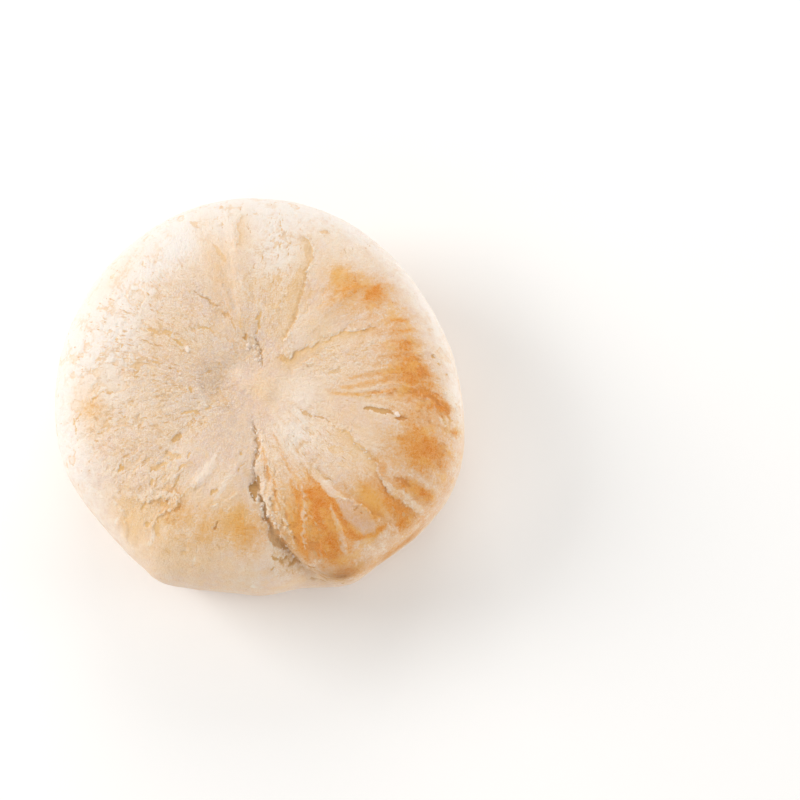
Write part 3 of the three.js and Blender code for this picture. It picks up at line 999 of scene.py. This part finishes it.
def flakes_mesh(at, ground, normals):
    """All loose flakes, each tilted so that one edge is in the crust and the other stands free."""
    draw = np.random.default_rng(7)
    corners, faces, shades, start = [], [], [], 0
    for path, stray, count, usual in FLAKES:
        ends = flat_place(*np.array(path, float).T)
        for _ in range(count):
            leg = draw.integers(len(ends) - 1)
            share = draw.random()
            wanted = ends[leg] * (1 - share) + ends[leg + 1] * share + draw.normal(0, stray, 2)
            nearest = int(np.argmin(np.sum((at.flat - wanted) ** 2, axis=1)))
            size = usual * draw.uniform(*FLAKE_SIZE)
            points, triangles = flake(draw, size)
            lean = Matrix.Rotation(math.radians(draw.uniform(*FLAKE_LEAN)), 3, "Y")
            spin = Matrix.Rotation(draw.uniform(0, 2 * math.pi), 3, "Z")
            stand = Vector(normals[nearest]).to_track_quat("Z", "Y").to_matrix()
            corners.append(points @ np.array(stand @ spin @ lean).T + ground[nearest])
            faces.append(triangles + start)
            shades.append(np.full(len(points), draw.random()))
            start += len(points)
    return np.concatenate(corners), np.concatenate(faces), {"shade": np.concatenate(shades)}


# -------------------- materials


def srgb(red, green, blue):
    """Linear colour of an sRGB one given as 0 to 255."""
    shares = [c / 255 for c in (red, green, blue)]
    return tuple(c / 12.92 if c <= 0.04045 else ((c + 0.055) / 1.055) ** 2.4 for c in shares) + (1.0,)


class Tree:
    """Short calls for a material's nodes. A call is given numbers, colours or other nodes' outputs."""

    def __init__(self, material):
        material.use_nodes = True
        self.nodes = material.node_tree.nodes
        self.links = material.node_tree.links
        self.nodes.clear()

    def feed(self, socket, value):
        if isinstance(value, bpy.types.NodeSocket):
            self.links.new(value, socket)
        else:
            socket.default_value = value

    def calculate(self, operation, a, b=0.0, clamp=False):
        node = self.nodes.new("ShaderNodeMath")
        node.operation = operation
        node.use_clamp = clamp
        self.feed(node.inputs[0], a)
        self.feed(node.inputs[1], b)
        return node.outputs[0]

    times = partialmethod(calculate, "MULTIPLY")
    plus = partialmethod(calculate, "ADD")
    minus = partialmethod(calculate, "SUBTRACT")
    larger = partialmethod(calculate, "MAXIMUM")

    def mix(self, factor, a, b):
        """Colour a where factor is 0, b where it is 1."""
        node = self.nodes.new("ShaderNodeMix")
        node.data_type = "RGBA"
        self.feed(node.inputs["Factor"], factor)
        self.feed(node.inputs[6], a)
        self.feed(node.inputs[7], b)
        return node.outputs[2]

    def layered(self, colour, *layers):
        """A colour with others laid over it, each as (factor, colour)."""
        for factor, over in layers:
            colour = self.mix(factor, colour, over)
        return colour

    def field(self, name, part="Fac"):
        node = self.nodes.new("ShaderNodeAttribute")
        node.attribute_name = name
        return node.outputs[part]

    def noise(self, size_mm, detail=3.0, roughness=0.55, place=None):
        """Noise with lumps of about that size, 0 to 1, over the object or over another node's vector."""
        node = self.nodes.new("ShaderNodeTexNoise")
        node.inputs["Scale"].default_value = 1 / (size_mm * MM)
        node.inputs["Detail"].default_value = detail
        node.inputs["Roughness"].default_value = roughness
        if place is None:
            place = self.nodes.new("ShaderNodeTexCoord").outputs["Object"]
        self.links.new(place, node.inputs["Vector"])
        return node.outputs["Fac"]

    def between(self, value, low, high, to_low=0.0, to_high=1.0):
        """value carried smoothly from low..high to to_low..to_high."""
        node = self.nodes.new("ShaderNodeMapRange")
        node.interpolation_type = "SMOOTHSTEP"
        self.feed(node.inputs["Value"], value)
        for name, number in (("From Min", low), ("From Max", high), ("To Min", to_low), ("To Max", to_high)):
            node.inputs[name].default_value = number
        return node.outputs["Result"]

    def ramp(self, value, stops):
        node = self.nodes.new("ShaderNodeValToRGB")
        while len(node.color_ramp.elements) < len(stops):
            node.color_ramp.elements.new(0.5)
        for element, (place, colour) in zip(node.color_ramp.elements, stops):
            element.position = place
            element.color = colour
        self.feed(node.inputs["Fac"], value)
        return node.outputs["Color"]

    def bump(self, height, strength, depth_mm, below=None):
        node = self.nodes.new("ShaderNodeBump")
        node.inputs["Strength"].default_value = strength
        node.inputs["Distance"].default_value = depth_mm * MM
        self.feed(node.inputs["Height"], height)
        if below is not None:
            self.links.new(below, node.inputs["Normal"])
        return node.outputs["Normal"]

    def surface(self, colour, roughness, specular, normal=None):
        """The shader that the tree ends in."""
        shader = self.nodes.new("ShaderNodeBsdfPrincipled")
        output = self.nodes.new("ShaderNodeOutputMaterial")
        self.feed(shader.inputs["Base Color"], colour)
        self.feed(shader.inputs["Roughness"], roughness)
        shader.inputs["Specular IOR Level"].default_value = specular
        if normal is not None:
            self.links.new(normal, shader.inputs["Normal"])
        self.links.new(shader.outputs["BSDF"], output.inputs["Surface"])
        return shader


SKIN = srgb(234, 211, 194)
SKIN_PINK = srgb(229, 200, 183)
SKIN_LIGHT = srgb(244, 228, 211)
# The palest skin, laid on as painted highlight.
PALE_LIT_SKIN = srgb(245, 237, 229)
DULL_SHADED_SKIN = srgb(208, 182, 163)
CREAM = srgb(236, 205, 166)
GOLDEN = srgb(243, 206, 160)
OCHRE = srgb(214, 166, 108)
GOLD = srgb(232, 187, 124)
BAKED_OCHRE = srgb(214, 140, 70)
PINK_SHEET = srgb(212, 158, 120)
BAKED_GOLD = srgb(238, 186, 102)
BAKED_PALE = srgb(240, 190, 134)
PALE_LIT_EDGE = srgb(247, 235, 219)
FLECK = srgb(220, 176, 124)
# Painted shade under a lobe, partly brown crust.
BROWN_SHADE = srgb(172, 118, 70)
CAVITY_SHADE_AND_OIL = srgb(150, 100, 54)

# From the least to the most baked.
BAKED_RAMP = [
    (0.0, srgb(233, 203, 175)),
    (0.3, srgb(231, 193, 156)),
    (0.5, srgb(229, 181, 132)),
    (0.72, srgb(226, 152, 68)),
    (1.0, srgb(220, 128, 26)),
]
TOASTED_RAMP = [
    (0.0, srgb(168, 100, 48)),
    (0.5, srgb(204, 142, 80)),
    (1.0, srgb(228, 178, 116)),
]

SPECULAR = 0.3


def crust_noises(tree):
    """The noises that the parts of the crust's look share."""
    fan = tree.field("fan", "Vector")
    return SimpleNamespace(
        fan=fan,
        mottle=tree.noise(4.0, 4.0),
        clouds=tree.noise(1.6, 4.0, 0.6),
        drift=tree.noise(11.0, 3.0),
        fibre=tree.noise(0.9, 4.0, 0.6, place=fan),
        flecked=tree.noise(0.55, 3.0, 0.6, place=fan),
        speck=tree.noise(0.55, 4.0, 0.6),
        fine=tree.noise(0.25, 3.0, 0.6),
    )


def mottled_skin(tree, noise):
    """Skin in pink, cream and golden clouds, dull and bare stretches, and streaks that fan out."""
    mottle, clouds, fibre = noise.mottle, noise.clouds, noise.fibre
    fanned = tree.field("fanned")
    return tree.layered(
        SKIN,
        (tree.between(mottle, 0.38, 0.62), SKIN_PINK),
        (tree.between(noise.drift, 0.42, 0.66, 0, 0.6), SKIN_LIGHT),
        (tree.between(mottle, 0.58, 0.40, 0, 0.3), CREAM),
        (tree.between(clouds, 0.50, 0.60, 0, 0.45), GOLDEN),
        # Dull skin, partly painted shade.
        (tree.times(tree.field("dull_and_shaded"), tree.between(clouds, 0.35, 0.6, 1.0, 0.5)), DULL_SHADED_SKIN),
        (tree.times(tree.field("bare"), 0.45), CREAM),
        (tree.times(tree.between(fibre, 0.46, 0.72, 0, 0.55), fanned), CREAM),
        (tree.times(tree.between(fibre, 0.52, 0.32, 0, 0.5), fanned), SKIN_LIGHT),
    )


def speckled_skin(tree, noise, skin):
    """Pale stretches of skin with painted highlight on them, golden stretches, and specks that are fewest
    where it is pale.
    """
    clouds, fine = noise.clouds, noise.fine
    # The pale field is partly paler skin and partly painted highlight.
    pale_and_lit = tree.field("pale_and_lit")
    palest_lit = tree.mix(tree.between(pale_and_lit, 0.4, 0.8), SKIN_LIGHT, PALE_LIT_SKIN)
    crisp = tree.between(tree.field("flaky"), 0.0, 0.8, 0.6, 1.25)
    coloured = tree.times(tree.between(pale_and_lit, 0.2, 0.9, 1, 0.1), crisp)
    return tree.layered(
        skin,
        (tree.between(tree.plus(pale_and_lit, clouds), 0.7, 1.3, 0, 0.95), palest_lit),
        (tree.times(tree.field("golden"), tree.between(clouds, 0.3, 0.6, 0.7)), GOLDEN),
        (tree.times(tree.between(noise.speck, 0.48, 0.58, 0, 0.5), coloured), CREAM),
        (tree.times(tree.between(fine, 0.49, 0.38, 0, 0.6), crisp), SKIN_LIGHT),
        (tree.times(tree.between(fine, 0.54, 0.62, 0, 0.3), coloured), FLECK),
    )


def baked_amount(tree, noise):
    """Baking that comes out softly, in clouds and streaks."""
    patchy = tree.noise(2.4, 5.0, 0.6, place=noise.fan)
    spread = tree.times(tree.minus(patchy, 0.5), tree.times(tree.field("fanned"), 0.9))
    parts = ((noise.clouds, 0.6), (noise.fibre, 0.3), (noise.speck, 0.7), (noise.fine, 0.6))
    for part, gain in parts:
        spread = tree.plus(spread, tree.times(tree.minus(part, 0.5), gain))
    amount = tree.field("baked")
    return tree.plus(amount, tree.times(spread, tree.between(amount, 0.0, 0.35)), clamp=True)


def baked_over(tree, noise, baked, skin):
    """Orange and golden crust over the skin, then pink and white sheets, then painted highlights on lips,
    partly pale torn skin.
    """
    golden = tree.between(tree.noise(3.0, 4.0), 0.50, 0.64, 0, 0.4)
    golden = tree.larger(golden, tree.times(tree.field("golden"), 0.8))
    crust = tree.mix(golden, tree.ramp(baked, BAKED_RAMP), BAKED_GOLD)
    off_middle = tree.calculate("ABSOLUTE", tree.minus(noise.speck, 0.5))
    curled = tree.between(off_middle, 0.0, 0.035, 0.55, 0.0)
    tint = tree.field("tint")
    pinkish = tree.times(tree.between(tint, 0.0, 1.0), tree.between(noise.clouds, 0.35, 0.6, 1, 0.5))
    unbaked = tree.minus(0.8, tree.times(baked, 0.5))
    return tree.layered(
        skin,
        (tree.between(baked, 0.0, 0.4), crust),
        (tree.times(curled, tree.between(baked, 0.5, 0.9)), BAKED_PALE),
        (pinkish, PINK_SHEET),
        (tree.between(tint, 0.0, -1.0), SKIN_LIGHT),
        # Painted highlight on proud corners, partly the pale edge of torn skin.
        (tree.times(tree.field("lip"), unbaked), PALE_LIT_EDGE),
    )


def opened_over(tree, noise, baked, colour):
    """Floors of openings and feet of torn edges, the feet partly painted shade, sharper than the mesh, pits
    too small for it, and painted shade in cavities.
    """
    jagged = tree.times(tree.minus(noise.fine, 0.5), 0.25)
    opened = tree.between(tree.plus(tree.field("opened"), jagged), -0.02, 0.06)
    under = tree.between(tree.plus(tree.field("under"), jagged), -0.05, 0.10)
    floor = tree.mix(tree.field("deep"), GOLD, OCHRE)
    floor = tree.mix(tree.between(baked, 0.1, 0.6), floor, BAKED_OCHRE)
    most = tree.times(tree.between(tree.field("flaky"), 0.0, 1.0, 0.0, 0.08), tree.field("fanned"))
    pits = tree.between(tree.plus(noise.flecked, most), 0.66, 0.76)
    # Gold at the feet of torn edges is partly painted shade.
    gold = tree.times(opened, tree.field("tone"))
    gold = tree.larger(gold, tree.times(under, tree.field("gold_and_shade_under")))
    gold = tree.larger(gold, tree.times(tree.field("layer_edge"), 0.6))
    # Painted shade, with some gathered oil, in corners below their neighbours.
    cavity_shade_and_oil = tree.times(tree.field("cavity_shade_and_oil"), 0.2)
    return tree.layered(colour, (tree.times(pits, 0.9), FLECK), (gold, floor), (cavity_shade_and_oil, CAVITY_SHADE_AND_OIL))


def brown_shade_and_toast_over(tree, noise, colour):
    """Painted shade under lobes, with some brown crust of their own, and the toasted lines low on the side.
    """
    brown_and_shade = tree.times(tree.field("brown_and_shade"), tree.between(noise.mottle, 0.35, 0.6, 1, 0.6))
    toasted = tree.ramp(tree.between(tree.noise(3.0, 5.0, 0.65), 0.3, 0.7), TOASTED_RAMP)
    return tree.layered(colour, (brown_and_shade, BROWN_SHADE), (tree.field("toast"), toasted))


def crust_material():
    material = bpy.data.materials.new("crust")
    tree = Tree(material)
    noise = crust_noises(tree)
    skin = speckled_skin(tree, noise, mottled_skin(tree, noise))
    baked = baked_amount(tree, noise)
    colour = baked_over(tree, noise, baked, skin)
    colour = opened_over(tree, noise, baked, colour)
    colour = brown_shade_and_toast_over(tree, noise, colour)
    roughness = tree.between(tree.plus(noise.speck, tree.field("bare")), 0.3, 1.4, 0.5, 0.8)
    normal = tree.bump(noise.fine, 1.0, 0.20, tree.bump(noise.speck, 0.9, 0.22))
    shader = tree.surface(colour, roughness, SPECULAR, normal)
    shader.inputs["Subsurface Weight"].default_value = 0.08
    shader.inputs["Subsurface Radius"].default_value = (1.0, 0.55, 0.3)
    shader.inputs["Subsurface Scale"].default_value = 1.2 * MM
    return material


def flake_material():
    material = bpy.data.materials.new("flakes")
    tree = Tree(material)
    speck = tree.noise(0.3, 3.0, 0.6)
    colour = tree.mix(tree.between(tree.field("shade"), 0.2, 1.0), SKIN_LIGHT, SKIN)
    colour = tree.mix(tree.between(speck, 0.45, 0.7, 0, 0.6), colour, CREAM)
    tree.surface(colour, tree.between(speck, 0.3, 0.7, 0.55, 0.75), SPECULAR, tree.bump(speck, 0.5, 0.06))
    return material


# -------------------- the mooncake

at, corners, faces = crust_mesh()
fields = at.fields()
proud = corners[:, 2] - neighbour_mean(corners[:, 2], faces, MEAN_ROUNDS)
on_face = corners[:, 2] > FACE_LEVEL
# Painted highlight on corners that stand proud, partly the pale edge of torn skin.
fields["lip"] = smoothstep(proud, *PROUD) * on_face
# Painted shade, with some gathered oil, in corners that lie low.
fields["cavity_shade_and_oil"] = smoothstep(-proud, *SUNK) * on_face
print("crust:", len(corners), "corners", len(faces), "triangles")

crust = add_mesh("mooncake_crust", corners, faces, fields, crust_material())
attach(crust, "root")
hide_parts("mooncake")

normals = [vertex.normal.copy() for vertex in crust.data.vertices]
flakes = add_mesh("mooncake_flakes", *flakes_mesh(at, corners, normals), flake_material())
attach(flakes, "root")

# -------------------- floor, light and camera

# Metres, degrees and watts, but for the camera's distance.
FLOOR_HALF = 3.0
LAMP_DISTANCE = 0.9
LAMP_WHITE = (1.0, 0.995, 0.99)
WORLD_STRENGTH = 0.55

# Area lights: angle round the mooncake, angle above the floor, size, power.
LAMPS = {
    "key": (165, 33, 0.5, 4.4),
    "front": (235, 30, 0.6, 1.3),
    "right": (-2, 8, 0.3, 3.6),
    "back": (85, 32, 0.6, 2.5),
}

TILT = math.radians(14.3)  # of the view from straight down
LENS = 100.0
SENSOR = 36.0
CLIP = (0.01, 20.0)
DISTANCE = 440.0
FRAME_PX = 800
PX_PER_MM = 5.05
PLEAT_CENTRE = (-0.35, -1.52)  # the body's axis, where the outline's middle is the origin
BODY_MIDDLE_PX = (258.8, 403.2)  # where the middle of the body is in the picture


def floor_material():
    material = bpy.data.materials.new("floor")
    Tree(material).surface(srgb(252, 251, 249), roughness=0.9, specular=0.1)
    return material


def add_floor():
    h = FLOOR_HALF / MM
    corners = np.array([(-h, -h, 0), (h, -h, 0), (h, h, 0), (-h, h, 0)])
    add_mesh("floor", corners, np.array([(0, 1, 2, 3)]), {}, floor_material())


def add_lamp(name, azimuth, elevation, size, watts):
    light = bpy.data.lights.new(name, "AREA")
    light.size = size
    light.energy = watts
    light.color = LAMP_WHITE
    lamp = bpy.data.objects.new(name, light)
    a, e = math.radians(azimuth), math.radians(elevation)
    away = Vector((math.cos(a) * math.cos(e), math.sin(a) * math.cos(e), math.sin(e)))
    lamp.location = away * LAMP_DISTANCE
    lamp.rotation_mode = "QUATERNION"
    lamp.rotation_quaternion = away.to_track_quat("Z", "Y")
    bpy.context.scene.collection.objects.link(lamp)


def add_world():
    world = bpy.data.worlds.new("studio")
    world.use_nodes = True
    background = world.node_tree.nodes["Background"]
    background.inputs["Color"].default_value = (*LAMP_WHITE, 1.0)
    background.inputs["Strength"].default_value = WORLD_STRENGTH
    bpy.context.scene.world = world


def add_camera():
    camera = bpy.data.cameras.new("camera")
    camera.lens = LENS
    camera.sensor_width = SENSOR
    camera.clip_start, camera.clip_end = CLIP
    right = Vector((1, 0, 0))
    up = Vector((0, math.cos(TILT), math.sin(TILT)))
    back = right.cross(up)
    half = FRAME_PX / 2
    middle = Vector((*PLEAT_CENTRE, HEIGHT / 2))
    aside = (half - BODY_MIDDLE_PX[0]) / PX_PER_MM
    above = (BODY_MIDDLE_PX[1] - half) / PX_PER_MM
    aim = middle + right * aside + up * above
    eye = aim + back * DISTANCE
    obj = bpy.data.objects.new("camera", camera)
    obj.matrix_world = Matrix.Translation(eye * MM) @ Matrix((right, up, back)).transposed().to_4x4()
    bpy.context.scene.collection.objects.link(obj)
    bpy.context.scene.camera = obj


add_floor()
add_camera()
add_world()
for name, lamp in LAMPS.items():
    add_lamp(name, *lamp)
bpy.context.scene.view_settings.view_transform = "Standard"
